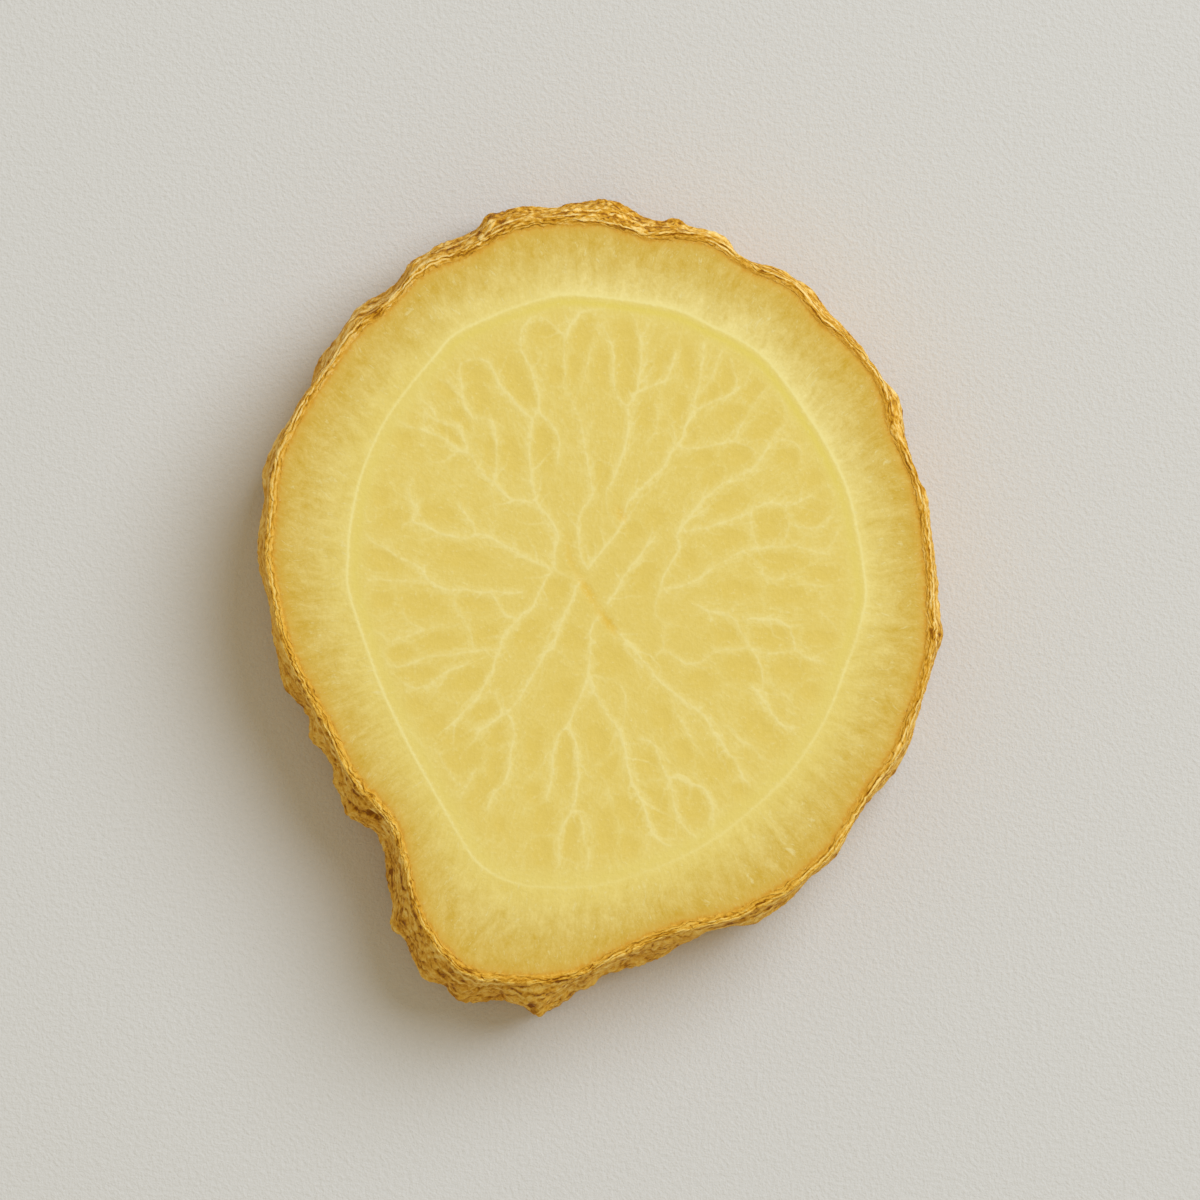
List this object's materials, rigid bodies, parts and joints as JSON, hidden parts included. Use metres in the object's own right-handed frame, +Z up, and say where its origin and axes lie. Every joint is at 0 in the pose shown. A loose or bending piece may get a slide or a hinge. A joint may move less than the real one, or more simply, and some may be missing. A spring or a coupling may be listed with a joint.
{
  "type": "ginger root slice",
  "caption": "Thick round slice cut across a fresh ginger rhizome, with two flat cut faces, a wall of thin wrinkled skin and one flattened, hollowed flank.",
  "frame": {"origin": "middle of the slice's footprint, on the lower cut face that it rests on", "axes": "+Z up, square to the cut faces; +Y along the slice's longer width; +X to the right when the upper cut face is seen from above with +Y up the page"},
  "size_m": [0.0342, 0.0408, 0.0065],
  "materials": {
    "ginger": "satin, moist cut flesh with matte fibrous skin round it"
  },
  "bodies": {
    "root": {"ginger_slice": "ginger"}
  },
  "joints": []
}
